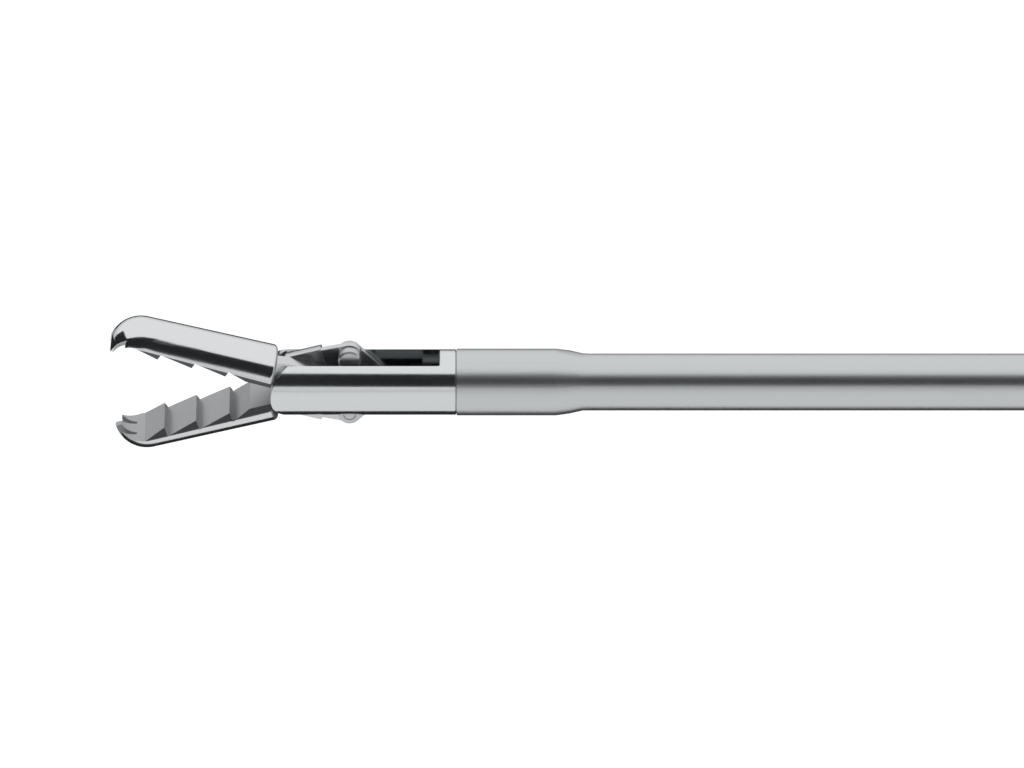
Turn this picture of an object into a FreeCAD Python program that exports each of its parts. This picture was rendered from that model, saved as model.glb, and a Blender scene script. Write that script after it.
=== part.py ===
"""Laparoscopic grasper, 5 mm class, all metal: double-action clawed jaws on a long tube, a rotation
wheel, and a ring handle with a ratchet. Millimetres. The origin is on the shaft's axis at the seam
between the jaw head and the tube. The jaws point along -X, the handle is at +X, and +Z is up.
The part stands with the jaws fully open, and the handle with them."""

import FreeCAD, Part
import math
import os

V = FreeCAD.Vector
X_AXIS = V(1, 0, 0)
Y_AXIS = V(0, 1, 0)
Z_AXIS = V(0, 0, 1)

# Shaft
TUBE_R = 2.5
TUBE_WALL = 0.35
HEAD_R = 2.87
BELL_R = 2.93
BELL_LENGTH = 8.7
NECK_LENGTH = 2.9
TUBE_LENGTH = 287.0
GUIDE_COUNT = 3
GUIDE_LENGTH = 4.0
GUIDE_FLAT = 0.4
FIT = 0.02
RUN_FIT = 0.05
SIDE_GAP = 0.3
BEYOND = 4.0

# Jaw head
PIVOT_BACK = 13.44
CHEEK_R = 2.86
SLOT_WIDTH = 2.7
SLOT_END = 1.46
SLOT_CORNER_R = 0.15
SEAM_BEVEL = 0.12
PIVOT_PIN_R = 0.75
SHANK_LENGTH = 7.5

# Jaws, measured from the pivot towards the tip when the jaws are shut
OPEN_ANGLE = 15.7
JAW_ROOT_R = 2.65
JAW_TIP_R = 2.5
JAW_REAR = 2.96
NOSE_LENGTH = 2.9
REAR_ROUND = 0.35
SHOULDER = 0.8
TOOTH_SINK = 0.6
TOOTH_ROOM = 0.05
TOOTH_DROP = 0.1
TOOTH_WIDTH_TIP = 3.9
TOOTH_WIDTH_ROOT = 4.5
TOOTH_LEAN = 0.5
LOWER_TIP = 17.1
UPPER_TIP = 17.55
LOWER_RIDGES = (12.7, 9.8, 6.75)
UPPER_RIDGES = (13.25, 10.15, 7.1)
LAST_RAMP = 1.75
LOWER_RAMP_START = 14.7
UPPER_RAMP_START = 15.4
LOWER_CREST = 0.25
UPPER_CREST = 0.92
CLAW_LAND = 0.55
CLAW_PITCH = 1.7
SCOOP_FLOOR = 0.35
SCOOP_RISE = 0.1
SCOOP_BOW = (0.33, 0.36)
GULLET_LENGTH = 1.7
GULLET_DEPTH = 1.0
GULLET_WIDTH = 1.5
GULLET_GAP = 0.08

# Jaw tails and links
TAIL_R = 4.78
TAIL_OPEN_ANGLE = 32.2
TAIL_END_R = 1.1
ROOT_DISC_R = 2.35
ROOT_TOP = 0.1
ROOT_REACH = 1.2
ROOT_DEPTH = 1.9
ROOT_KNEE = (2.0, 2.2)
ROOT_CREST = 0.9
TAIL_STEP_AT = 2.35
TAIL_STEP = 0.15
TAIL_STEP_LENGTH = 1.0
TAIL_WAIST = (1.7, -1.6)
TAIL_CHIN = (0.35, 0.06)
LINK_LENGTH = 3.63
LINK_END_R = 0.95
LINK_THICK = 0.5
PLATE_GAP = 0.02
TAIL_THIN = 0.54
LINK_PIN_R = 0.5
LINK_HOLE_R = 0.65
PIN_HEAD_R = 1.0
PIN_HEAD_LENGTH = 0.92
PIN_HEAD_BEVEL = 0.15

# Rod
ROD_R = 1.0
ROD_BORE_R = 1.15
TONGUE_THICK = 1.5
TONGUE_HALF_HEIGHT = 1.2
TONGUE_NOSE = 1.15
TONGUE_BACK = 3.0
BALL_R = 2.0
NECK_R = 0.9
THREAD_DEPTH = 0.2
THREAD_GAP = 0.9
COLLAR_WALL = 0.5
COLLAR_PAST = 0.2

# Hub, wheel and flush port
TUBE_SEAT = 7.6
HUB_R = 5.0
HUB_NOSE_R = 3.6
HUB_NOSE_LENGTH = 3.5
WHEEL_SETBACK = 15.0
WHEEL_WIDTH = 15.0
WHEEL_GAP = 1.0
WHEEL_R = 12.0
WHEEL_COLLAR = 1.5
WHEEL_STEP = 2.0
WHEEL_FALL = 3.5
WHEEL_RISE = 7.0
WHEEL_FLUTES = 12
FLUTE_R = 1.9
FLUTE_OUT = 0.7
JOURNAL_R = 4.0
PORT_SETBACK = 3.0
PORT_SEAT_WALL = 1.0
PORT_TOP = 17.0
PORT_R = 3.3
PORT_BORE_R = 2.15
PORT_BORE_DEPTH = 9.0
PORT_FLANGE_R = 3.9
PORT_FLANGE = 1.8
SEAL_SETBACK = 10.0
CHANNEL_ROOM = 0.3
SEAL_R = 0.6
SEAL_FACETS = 8

# Handle
BARREL_R = 8.5
BARREL_LENGTH = 41.0
BARREL_ROUND = 1.2
BEARING_LENGTH = 12.0
CAVITY_WALL = 3.0
CAVITY_FRONT = 7.0
CAVITY_R = 5.6
BALL_SETBACK = 28.0
LEVER_ARM = 5.0
EAR_THICK = 2.6
EAR_R = 6.0
EAR_START = (14.0, -2.0)
EAR_BEND = (-6.0, 0.5)
EAR_HALF_WIDTHS = (6.0, 6.6, EAR_R)
FORK_HALF = 3.2
FORK_TOP = 0.3
NECK_ROOM = 0.2
NECK_SWING = 1.2
EDGE_BEVEL = 0.6
LEVER_HEAD_THICK = 4.5
LEVER_EYE_R = 4.4
LEVER_BEND = (0.36, 0.48)
LEVER_HALF_WIDTHS = (4.2, 3.9, 3.0)
LEG_THICK = 3.9
LEG_TOP = (2.0, -3.0)
LEG_BEND = (-0.5, -20.0)
LEG_HALF_WIDTHS = (9.0, 4.6, 3.6)
LOOP_SECTION_R = 3.0
LOOP_FLAT = 0.3
FINGER_SETBACK = 14.0
FINGER_Z = -62.0
FINGER_HALF_WIDTH = 12.0
FINGER_STRAIGHT = 10.0
THUMB_SETBACK = 46.0
THUMB_Z = -58.0
THUMB_R = 12.0
PIVOT_SCREW_R = 1.5
PIVOT_SCREW_HEAD_R = 2.8
PIVOT_SCREW_HEAD = 1.2
SCREW_SLOT_WIDTH = 0.7
SCREW_SLOT_DEPTH = 0.6
NUT_HOLE_R = 0.35
NUT_HOLE_DEPTH = 0.7
NUT_HOLE_OUT = 2.1

# Ratchet
RATCHET_R = 30.0
RATCHET_BAR_WIDTH = 3.0
RATCHET_THICK = 2.0
RATCHET_TEETH = 13
RATCHET_STEPS = 8
RATCHET_TOOTH = 0.6
RATCHET_GAP = 0.12
NOTCH_SHARE = 0.95
PAWL_LIFT = 8.0
PAWL_BOSS_R = 3.6
PAWL_WEB_LOW = 7.0
PAWL_WEB_HIGH = 6.0
PAWL_LENGTH = 9.0
PAWL_PLACE = (-0.93, 0.3)
PAWL_OUT = 3.4
PAWL_ANGLE = -110.0
PAWL_EYE_R = 2.2
PAWL_HALF_WIDTHS = (0.9, 1.2, 1.8)
PAWL_TOOTH_NEAR = 0.06
PAWL_TOOTH_SHARE = 0.8
PAWL_TOOTH_TOP = 0.08
PAWL_TOOTH_BASE = 2.4
PAWL_ARM = ((1.6, 0.6), (2.2, -PAWL_LENGTH / 2))
TAB_POINTS = ((-5.0, 1.0), (-9.0, 4.0))
TAB_HALF_WIDTHS = (1.6, 1.3, 1.1)
PAWL_PIN_R = 0.8
PAWL_PIN_HEAD_R = 1.6
PAWL_PIN_HEAD = 0.6
SPRING_TURNS_LENGTH = 1.2
SPRING_TURNS_WALL = 0.6
SPRING_WIRE_R = 0.24
SPRING_START = 0.32
SPRING_BEND = (3.2, -2.9)
RATCHET_START = -118.0
RATCHET_END = -49.0
RIVET_ANGLES = (-57.0, -52.0)
RIVET_R = 0.7
RIVET_HEAD_R = 1.3
RIVET_HEAD = 0.5

# Small fittings
CLIP_WIDTH = 1.1
CLIP_DEPTH = 0.6
CLIP_PROUD = 1.2
CLIP_MOUTH = 3.0
PORT_STEM_R = 2.2
PORT_CHANNEL_R = 0.9
DETENT_R = 1.0
DETENT_TRACK_R = 6.9
DETENT_DEPTH = 6.0
DETENT_REACH = 0.7
DETENT_TURNS = 6
DETENT_WIRE_R = 0.15
SET_SCREW_R = 1.25
SET_SCREW_LENGTH = 4.0
SET_SCREW_PLACE = 0.6
SET_SCREW_SOCKET = 1.5
THREAD_LENGTH = 6.0
NUT_LENGTH = 1.6
NUT_FLATS = 4.0
BUSH_R = 5.2

# Worked out
TUBE_BORE_R = TUBE_R - TUBE_WALL
HUB_FRONT = TUBE_LENGTH - TUBE_SEAT
PORT_X = TUBE_LENGTH + PORT_SETBACK
SEAL_X = TUBE_LENGTH + SEAL_SETBACK
WHEEL_FRONT = TUBE_LENGTH + WHEEL_SETBACK
BARREL_FRONT = WHEEL_FRONT + WHEEL_WIDTH + WHEEL_GAP
CAVITY_BACK = BARREL_FRONT + BARREL_LENGTH
BALL_X = BARREL_FRONT + BALL_SETBACK
FINGER_X = BARREL_FRONT + FINGER_SETBACK
THUMB_X = BALL_X + THUMB_SETBACK
PIVOT_X = -PIVOT_BACK
TAIL_SHUT_ANGLE = TAIL_OPEN_ANGLE - OPEN_ANGLE
TAIL_OPEN_X = TAIL_R * math.cos(math.radians(TAIL_OPEN_ANGLE))
TAIL_OPEN_Z = TAIL_R * math.sin(math.radians(TAIL_OPEN_ANGLE))
TAIL_SHUT_X = TAIL_R * math.cos(math.radians(TAIL_SHUT_ANGLE))
TAIL_SHUT_Z = TAIL_R * math.sin(math.radians(TAIL_SHUT_ANGLE))
ROD_PIN_X = PIVOT_X + TAIL_OPEN_X + math.sqrt(LINK_LENGTH ** 2 - TAIL_OPEN_Z ** 2)
ROD_TRAVEL = PIVOT_X + TAIL_SHUT_X + math.sqrt(LINK_LENGTH ** 2 - TAIL_SHUT_Z ** 2) - ROD_PIN_X
LEVER_ANGLE = math.degrees(math.asin(ROD_TRAVEL / LEVER_ARM))
PLATE_THICK = SLOT_WIDTH / 2 - 2 * PLATE_GAP
LINK_INNER_Y = TONGUE_THICK / 2 + RUN_FIT
TAIL_OUTER_Y = LINK_INNER_Y - PLATE_GAP
TAIL_INNER_Y = TAIL_OUTER_Y - TAIL_THIN
JOURNAL_END = BARREL_FRONT + BEARING_LENGTH + SIDE_GAP
JOURNAL_BACK = JOURNAL_END + CLIP_WIDTH + 1.0
PORT_SEAT_Z = TUBE_R + PORT_SEAT_WALL
SET_SCREW_X = WHEEL_FRONT + WHEEL_WIDTH * SET_SCREW_PLACE
PIVOT_SCREW_X = BALL_X
THREAD_R = NECK_R - THREAD_DEPTH
THREAD_START = BALL_X - BALL_R - THREAD_LENGTH
THREAD_END = BALL_X - FORK_HALF - THREAD_GAP
EARS_HALF = LEVER_HEAD_THICK / 2 + SIDE_GAP + EAR_THICK
PIVOT_Z = -LEVER_ARM
RATCHET_Y = -LEVER_HEAD_THICK / 2 - RATCHET_THICK
PAWL_ARC_R = RATCHET_R + PAWL_OUT
PAWL_X = PIVOT_SCREW_X + PAWL_ARC_R * math.cos(math.radians(PAWL_ANGLE)) + PAWL_LENGTH * PAWL_PLACE[0]
PAWL_Z = PIVOT_Z + PAWL_ARC_R * math.sin(math.radians(PAWL_ANGLE)) + PAWL_LENGTH * PAWL_PLACE[1]


def cyl_x(radius, x0, x1, y=0.0, z=0.0):
    return Part.makeCylinder(radius, x1 - x0, V(x0, y, z), X_AXIS)


def cyl_y(radius, y0, y1, x=0.0, z=0.0):
    return Part.makeCylinder(radius, y1 - y0, V(x, y0, z), Y_AXIS)


def cyl_z(radius, z0, z1, x=0.0, y=0.0):
    return Part.makeCylinder(radius, z1 - z0, V(x, y, z0), Z_AXIS)


def box(x0, x1, y0, y1, z0, z1):
    return Part.makeBox(x1 - x0, y1 - y0, z1 - z0, V(x0, y0, z0))


def prism_y(points, y0, y1):
    """A polygon of (x, z) points, drawn out along Y."""
    corners = [V(x, y0, z) for x, z in points]
    wire = Part.makePolygon(corners + corners[:1])
    return Part.Face(wire).extrude(V(0, y1 - y0, 0))


def prism_x(points, x0, x1):
    """A polygon of (y, z) points, drawn out along X."""
    corners = [V(x0, y, z) for y, z in points]
    wire = Part.makePolygon(corners + corners[:1])
    return Part.Face(wire).extrude(V(x1 - x0, 0, 0))


def turned(points):
    """A closed (x, radius) outline turned about the X axis."""
    corners = [V(x, 0, r) for x, r in points]
    wire = Part.makePolygon(corners + corners[:1])
    return Part.Face(wire).revolve(V(0, 0, 0), X_AXIS, 360)


def fused(shapes):
    whole = shapes[0]
    for shape in shapes[1:]:
        whole = whole.fuse(shape)
    return whole.removeSplitter()


def rotated_y(shape, x, z, degrees):
    """Turned about a line along +Y, by the right-hand rule."""
    copy = shape.copy()
    copy.rotate(V(x, 0, z), Y_AXIS, degrees)
    return copy


def arm(points, half_widths, y0, y1):
    """A plate along three (x, z) points. Each of its two edges is an arc, half_width to the side of them."""
    left = []
    right = []
    for i, (x, z) in enumerate(points):
        x0, z0 = points[max(i - 1, 0)]
        x1, z1 = points[min(i + 1, 2)]
        length = math.hypot(x1 - x0, z1 - z0)
        nx = -(z1 - z0) / length * half_widths[i]
        nz = (x1 - x0) / length * half_widths[i]
        left.append(V(x + nx, y0, z + nz))
        right.append(V(x - nx, y0, z - nz))
    edges = [Part.Arc(*left).toShape(), Part.makeLine(left[2], right[2])]
    edges += [Part.Arc(*reversed(right)).toShape(), Part.makeLine(right[0], left[0])]
    return Part.Face(Part.Wire(edges)).extrude(V(0, y1 - y0, 0))


def bevelled_plate(plate, half):
    """The long edges of a plate that was drawn out between -half and half, bevelled."""
    sides = [edge for edge in plate.Edges if edge.BoundBox.YLength < 0.01 and edge.Length > 4 * half]
    return plate.makeChamfer(EDGE_BEVEL, sides)


def bar_between(start, end, radius):
    """A round bar from one point to another."""
    return Part.makeCylinder(radius, (end - start).Length, start, end - start)


def round_ring(x, z, path_r, section_r, start=0.0, sweep=360.0):
    """A ring of round bar in the XZ plane. start is the angle from +X towards +Z."""
    circle = Part.Wire(Part.makeCircle(section_r, V(x + path_r, 0, z), Z_AXIS))
    ring = Part.Face(circle).revolve(V(x, 0, z), V(0, -1, 0), sweep)
    ring.rotate(V(x, 0, z), V(0, -1, 0), start)
    return ring


def hexagon_x(across_flats, x0, x1):
    radius = across_flats / math.sqrt(3)
    points = []
    for i in range(6):
        angle = math.radians(60 * i)
        points.append((radius * math.cos(angle), radius * math.sin(angle)))
    return prism_x(points, x0, x1)


# Jaws. Each is drawn shut, teeth up, with its pivot at the origin and its tip towards -X.

def nose_arc(tip, side):
    """One side of the nose in the XY plane: an arc from the point, level where it meets the bar."""
    radius = (NOSE_LENGTH ** 2 + JAW_TIP_R ** 2) / (2 * JAW_TIP_R)
    middle = math.asin(NOSE_LENGTH / radius) / 2
    x = -tip + NOSE_LENGTH
    half_way = V(x - radius * math.sin(middle), side * (JAW_TIP_R - radius * (1 - math.cos(middle))), 0)
    return Part.Arc(V(-tip, 0, 0), half_way, V(x, side * JAW_TIP_R, 0)).toShape()


def half_round(tip):
    """The jaw's outer form: a tapered round bar with a rounded nose, turned about the pitch line."""
    curve = nose_arc(tip, 1)
    nose_top = V(-tip + NOSE_LENGTH, JAW_TIP_R, 0)
    rim_start = V(-JAW_REAR - REAR_ROUND, JAW_ROOT_R, 0)
    rim_end = V(-JAW_REAR, JAW_ROOT_R - REAR_ROUND, 0)
    slant = REAR_ROUND * (1 - math.sqrt(0.5))
    rim = Part.Arc(rim_start, V(-JAW_REAR - slant, JAW_ROOT_R - slant, 0), rim_end).toShape()
    root = V(-JAW_REAR, 0, 0)
    point = V(-tip, 0, 0)
    edges = [curve, Part.makeLine(nose_top, rim_start), rim, Part.makeLine(rim_end, root)]
    edges.append(Part.makeLine(root, point))
    wire = Part.Wire(Part.__sortEdges__(edges))
    return Part.Face(wire).revolve(V(0, 0, 0), X_AXIS, 360)


def tooth_plan(tip, height):
    """The toothed land seen from above, its tip rounded inside the nose, with flanks that lean outwards."""
    round_at = -tip + NOSE_LENGTH

    def outline(z):
        at_tip = TOOTH_WIDTH_TIP / 2 - TOOTH_LEAN * z
        at_root = TOOTH_WIDTH_ROOT / 2 - TOOTH_LEAN * z
        side = [(-tip - 1, at_tip), (round_at, at_tip), (-JAW_REAR, at_root)]
        points = [V(x, y, z) for x, y in side]
        points += [V(x, -y, z) for x, y in reversed(side)]
        return Part.makePolygon(points + points[:1])

    land = Part.makeLoft([outline(-SHOULDER - TOOTH_SINK), outline(height)], True, True)
    side = JAW_TIP_R
    rear = JAW_ROOT_R
    corners = [V(round_at, side, 0), V(-JAW_REAR, rear, 0), V(-JAW_REAR, -rear, 0), V(round_at, -side, 0)]
    edges = [nose_arc(tip, 1), nose_arc(tip, -1)]
    edges += [Part.makeLine(a, b) for a, b in zip(corners, corners[1:])]
    plan = Part.Face(Part.Wire(Part.__sortEdges__(edges)))
    return land.common(half_round(tip).fuse(plan.extrude(V(0, 0, height))))


def tooth_profile(tip, crest, ramp_start, ridges):
    """Side view of claw, scoop and sawteeth, drawn out across the jaw."""
    top = -TOOTH_ROOM
    low = -SHOULDER
    under = low - 2 * TOOTH_SINK
    claw_back = tip - CLAW_LAND
    scoop_floor = ramp_start + SCOOP_FLOOR
    floor_z = low + SCOOP_RISE
    points = [V(-tip - 1, 0, under), V(-tip - 1, 0, crest), V(-claw_back, 0, crest)]
    edges = [Part.makeLine(points[0], points[1]), Part.makeLine(points[1], points[2])]
    middle_x = -claw_back + (claw_back - scoop_floor) * SCOOP_BOW[0]
    middle_z = floor_z + (crest - floor_z) * SCOOP_BOW[1]
    floor = V(-scoop_floor, 0, floor_z)
    edges.append(Part.Arc(points[2], V(middle_x, 0, middle_z), floor).toShape())
    path = [floor, V(-ramp_start, 0, low)]
    for ridge in ridges:
        path.append(V(-ridge, 0, top))
        path.append(V(-ridge + TOOTH_DROP, 0, low))
    last_top = ridges[-1] - TOOTH_DROP - LAST_RAMP
    path.append(V(-last_top, 0, top))
    path.append(V(-JAW_REAR, 0, top))
    path.append(V(-JAW_REAR, 0, under))
    for start, end in zip(path, path[1:] + [points[0]]):
        edges.append(Part.makeLine(start, end))
    face = Part.Face(Part.Wire(edges))
    face.translate(V(0, -BEYOND, 0))
    return face.extrude(V(0, 2 * BEYOND, 0))


def gullets(tip, crest, middles):
    """V grooves along the claws, at each of the (y) middles."""
    cuts = []
    slope = (GULLET_DEPTH + UPPER_CREST) / (GULLET_WIDTH / 2)
    rise = crest + 0.5
    for y in middles:
        half = (rise + GULLET_DEPTH) / slope + GULLET_GAP
        points = [(y, -GULLET_DEPTH), (y + half, rise), (y - half, rise)]
        cuts.append(prism_x(points, -tip - 1, -tip + GULLET_LENGTH))
    return cuts


def jaw(tip, crest, ramp_start, ridges, gullet_middles):
    """One jaw with its teeth, claws and tail, bored for both its pins."""
    body = half_round(tip)
    body = body.cut(box(-tip - 2, 0, -BEYOND, BEYOND, -SHOULDER, BEYOND))
    teeth = tooth_plan(tip, crest).common(tooth_profile(tip, crest, ramp_start, ridges))
    for cut in gullets(tip, crest, gullet_middles):
        teeth = teeth.cut(cut)
        body = body.cut(cut)
    whole = body.fuse(teeth).fuse(jaw_root()).removeSplitter()
    whole = whole.cut(cyl_y(PIVOT_PIN_R + FIT, -BEYOND, BEYOND))
    return whole.cut(cyl_y(LINK_PIN_R + FIT, -BEYOND, BEYOND, TAIL_SHUT_X, TAIL_SHUT_Z))


def jaw_root():
    """The flat plate behind the jaw: hinge disc, and the tail that crosses over the shaft's axis."""
    outer = PLATE_GAP + PLATE_THICK
    front = -JAW_REAR - ROOT_REACH
    knee = (-ROOT_KNEE[0], -ROOT_KNEE[1])
    neck = prism_y([(front, -ROOT_TOP), (front, -ROOT_DEPTH), knee, (0, -ROOT_DISC_R), (0, -ROOT_TOP)],
                   PLATE_GAP, outer)
    disc = cyl_y(ROOT_DISC_R, PLATE_GAP, outer)
    step = [(TAIL_STEP_AT, HEAD_R), (TAIL_STEP_AT, TAIL_STEP_LENGTH)]
    shoulder = prism_y([(0, 0), (-ROOT_CREST, HEAD_R)] + step + [TAIL_WAIST], PLATE_GAP, outer)
    plate = fused([disc, neck, shoulder])
    step_z = math.sqrt(CHEEK_R ** 2 - TAIL_OUTER_Y ** 2) - TAIL_STEP
    end_top = (TAIL_SHUT_X, TAIL_SHUT_Z + TAIL_END_R)
    end_low = (TAIL_SHUT_X - TAIL_CHIN[0], TAIL_SHUT_Z - TAIL_END_R + TAIL_CHIN[1])
    step_front = TAIL_STEP_AT - TAIL_STEP_LENGTH
    arm_points = [(0, 0), (step_front, step_z), (TAIL_STEP_AT, step_z), end_top, end_low, TAIL_WAIST]
    tail = prism_y(arm_points, TAIL_INNER_Y, TAIL_OUTER_Y)
    tail = tail.fuse(cyl_y(TAIL_END_R, TAIL_INNER_Y, TAIL_OUTER_Y, TAIL_SHUT_X, TAIL_SHUT_Z))
    keep = cyl_x(CHEEK_R, front - 1, TAIL_SHUT_X + TAIL_END_R + 1)
    return plate.fuse(tail).removeSplitter().common(keep)


def link_pin():
    """The shouldered pin through tail and link, as it lies in the lower jaw when shut."""
    head_inner = TAIL_INNER_Y - PLATE_GAP
    end = LINK_INNER_Y + LINK_THICK
    shank = cyl_y(LINK_PIN_R, head_inner - PIN_HEAD_LENGTH / 2, end, TAIL_SHUT_X, TAIL_SHUT_Z)
    head = cyl_y(PIN_HEAD_R, head_inner - PIN_HEAD_LENGTH, head_inner, TAIL_SHUT_X, TAIL_SHUT_Z)
    rim = [edge for edge in head.Edges if edge.BoundBox.YMax < head_inner - PIN_HEAD_LENGTH / 2]
    head = head.makeChamfer(PIN_HEAD_BEVEL, [edge for edge in rim if edge.BoundBox.XLength > PIN_HEAD_R])
    return shank.fuse(head).removeSplitter()


def link():
    """The flat link as it lies on the lower jaw's side at rest."""
    x0 = PIVOT_X + TAIL_OPEN_X
    y0 = LINK_INNER_Y
    y1 = LINK_INNER_Y + LINK_THICK
    dx = ROD_PIN_X - x0
    nx = TAIL_OPEN_Z / LINK_LENGTH * LINK_END_R
    nz = dx / LINK_LENGTH * LINK_END_R
    strap = prism_y([(x0 + nx, TAIL_OPEN_Z + nz), (ROD_PIN_X + nx, nz), (ROD_PIN_X - nx, -nz),
                     (x0 - nx, TAIL_OPEN_Z - nz)], y0, y1)
    ends = [cyl_y(LINK_END_R, y0, y1, x0, TAIL_OPEN_Z), cyl_y(LINK_END_R, y0, y1, ROD_PIN_X, 0)]
    whole = fused([strap] + ends)
    whole = whole.cut(cyl_y(LINK_PIN_R + RUN_FIT, y0 - 1, y1 + 1, x0, TAIL_OPEN_Z))
    return whole.cut(cyl_y(LINK_HOLE_R, y0 - 1, y1 + 1, ROD_PIN_X, 0))


def placed_lower(shape):
    """From the drawing position to the open lower jaw's place."""
    moved = rotated_y(shape, 0, 0, -OPEN_ANGLE)
    moved.translate(V(PIVOT_X, 0, 0))
    return moved


def turned_over(shape):
    """Half a turn about the shaft's axis, which makes a lower piece an upper one."""
    copy = shape.copy()
    copy.rotate(V(0, 0, 0), X_AXIS, 180)
    return copy


def jaw_pieces():
    lower = jaw(LOWER_TIP, LOWER_CREST, LOWER_RAMP_START, LOWER_RIDGES, (-CLAW_PITCH / 2, CLAW_PITCH / 2))
    upper = jaw(UPPER_TIP, UPPER_CREST, UPPER_RAMP_START, UPPER_RIDGES, (-CLAW_PITCH, 0, CLAW_PITCH))
    pin = placed_lower(link_pin())
    return {
        "lower_jaw": placed_lower(lower),
        "upper_jaw": turned_over(placed_lower(upper)),
        "lower_jaw_link_pin": pin,
        "upper_jaw_link_pin": turned_over(pin),
        "lower_jaw_link": link(),
        "upper_jaw_link": turned_over(link()),
    }


# Shaft

def jaw_head():
    """The slotted barrel that the jaws turn in, with the shank that is soldered into the tube."""
    tip = PIVOT_X - HEAD_R
    barrel = turned([(tip, 0), (tip, HEAD_R), (-SEAM_BEVEL, HEAD_R), (0, HEAD_R - SEAM_BEVEL), (0, 0)])
    front = cyl_y(CHEEK_R, -HEAD_R, HEAD_R, PIVOT_X).fuse(box(PIVOT_X, 1, -HEAD_R, HEAD_R, -HEAD_R, HEAD_R))
    head = barrel.common(front)
    shank = cyl_x(TUBE_BORE_R - FIT, 0, SHANK_LENGTH)
    head = head.fuse(shank)
    half = SLOT_WIDTH / 2
    slot = box(PIVOT_X - BEYOND, -SLOT_END, -half, half, -BEYOND, BEYOND)
    upright = [edge for edge in slot.Edges if edge.BoundBox.ZLength > BEYOND]
    corners = [edge for edge in upright if edge.BoundBox.XMin > -SLOT_END - 1]
    slot = slot.makeFillet(SLOT_CORNER_R, corners)
    head = head.cut(slot)
    head = head.cut(cyl_x(ROD_BORE_R, -SLOT_END - 1, SHANK_LENGTH + 1))
    return head.cut(cyl_y(PIVOT_PIN_R, -BEYOND, BEYOND, PIVOT_X))


def jaw_pivot_pin():
    pin = cyl_y(PIVOT_PIN_R, -HEAD_R, HEAD_R, PIVOT_X)
    return pin.common(cyl_x(HEAD_R, PIVOT_X - PIVOT_PIN_R - 1, PIVOT_X + PIVOT_PIN_R + 1))


def outer_tube():
    """The long tube, swaged out to a bell where the head sits."""
    bell = BELL_LENGTH
    neck = BELL_LENGTH + NECK_LENGTH
    start = [V(0, 0, TUBE_BORE_R), V(0, 0, BELL_R), V(bell, 0, BELL_R)]
    swage = Part.BezierCurve()
    half = NECK_LENGTH / 2
    middle_poles = [V(bell + half, 0, BELL_R), V(neck - half, 0, TUBE_R)]
    swage.setPoles([V(bell, 0, BELL_R)] + middle_poles + [V(neck, 0, TUBE_R)])
    end = [V(neck, 0, TUBE_R), V(TUBE_LENGTH, 0, TUBE_R), V(TUBE_LENGTH, 0, TUBE_BORE_R), start[0]]
    edges = [Part.makeLine(a, b) for a, b in zip(start, start[1:])]
    edges.append(swage.toShape())
    edges += [Part.makeLine(a, b) for a, b in zip(end, end[1:])]
    return Part.Face(Part.Wire(edges)).revolve(V(0, 0, 0), X_AXIS, 360)


def rod_guide_bushes():
    """Plastic bushes that keep the rod straight in the tube, with flats that let rinsing water by."""
    bushes = []
    flat_z = TUBE_BORE_R - GUIDE_FLAT
    for i in range(1, GUIDE_COUNT + 1):
        x = TUBE_LENGTH * i / (GUIDE_COUNT + 1)
        x1 = x + GUIDE_LENGTH
        bush = cyl_x(TUBE_BORE_R - FIT, x, x1).cut(cyl_x(ROD_R + RUN_FIT, x, x1))
        bushes.append(bush.common(box(x, x1, -TUBE_R, TUBE_R, -flat_z, flat_z)))
    return Part.makeCompound(bushes)


def shaft_hub():
    """The turned hub behind the tube: nose, wheel seat, and the journal that runs in the handle."""
    channel_r = ROD_BORE_R + CHANNEL_ROOM
    seat_r = ROD_R + RUN_FIT + 2 * SEAL_R
    seat_end = SEAL_X + 2 * SEAL_R
    outline = [(HUB_FRONT, TUBE_R + FIT), (HUB_FRONT, HUB_NOSE_R), (HUB_FRONT + HUB_NOSE_LENGTH, HUB_R),
               (WHEEL_FRONT, HUB_R), (WHEEL_FRONT, JOURNAL_R), (JOURNAL_BACK, JOURNAL_R),
               (JOURNAL_BACK, ROD_BORE_R), (seat_end, ROD_BORE_R), (seat_end, seat_r), (SEAL_X, seat_r),
               (SEAL_X, channel_r), (TUBE_LENGTH, channel_r), (TUBE_LENGTH, TUBE_R + FIT)]
    hub = turned(outline)
    socket = cyl_z(PORT_STEM_R + FIT, PORT_SEAT_Z, HUB_R + 1, PORT_X)
    channel = cyl_z(PORT_CHANNEL_R, 0, HUB_R, PORT_X)
    ring = cyl_x(JOURNAL_R + 1, JOURNAL_END, JOURNAL_END + CLIP_WIDTH)
    groove = ring.cut(cyl_x(JOURNAL_R - CLIP_DEPTH, JOURNAL_END, JOURNAL_END + CLIP_WIDTH))
    return hub.cut(socket).cut(channel).cut(groove)


def flush_port():
    """The rinsing port: a female cone for a syringe, with its two-lug flange."""
    stem = cyl_z(PORT_STEM_R, PORT_SEAT_Z + FIT, HUB_R + 1, PORT_X)
    port = stem.fuse(cyl_z(PORT_R, HUB_R, PORT_TOP, PORT_X))
    flange = cyl_z(PORT_FLANGE_R, PORT_TOP - PORT_FLANGE, PORT_TOP, PORT_X)
    reach = PORT_FLANGE_R + 1
    flats = box(PORT_X - reach, PORT_X + reach, -PORT_R, PORT_R, PORT_TOP - PORT_FLANGE, PORT_TOP)
    port = port.fuse(flange.common(flats)).removeSplitter()
    port = port.cut(cyl_z(PORT_BORE_R, PORT_TOP - PORT_BORE_DEPTH, PORT_TOP + 1, PORT_X))
    port = port.cut(cyl_z(PORT_CHANNEL_R, 0, PORT_TOP, PORT_X))
    hub_space = cyl_x(HUB_R + FIT, PORT_X - reach, PORT_X + reach)
    return port.cut(hub_space.cut(cyl_z(PORT_STEM_R + FIT, 0, HUB_R + 1, PORT_X)))


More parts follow.
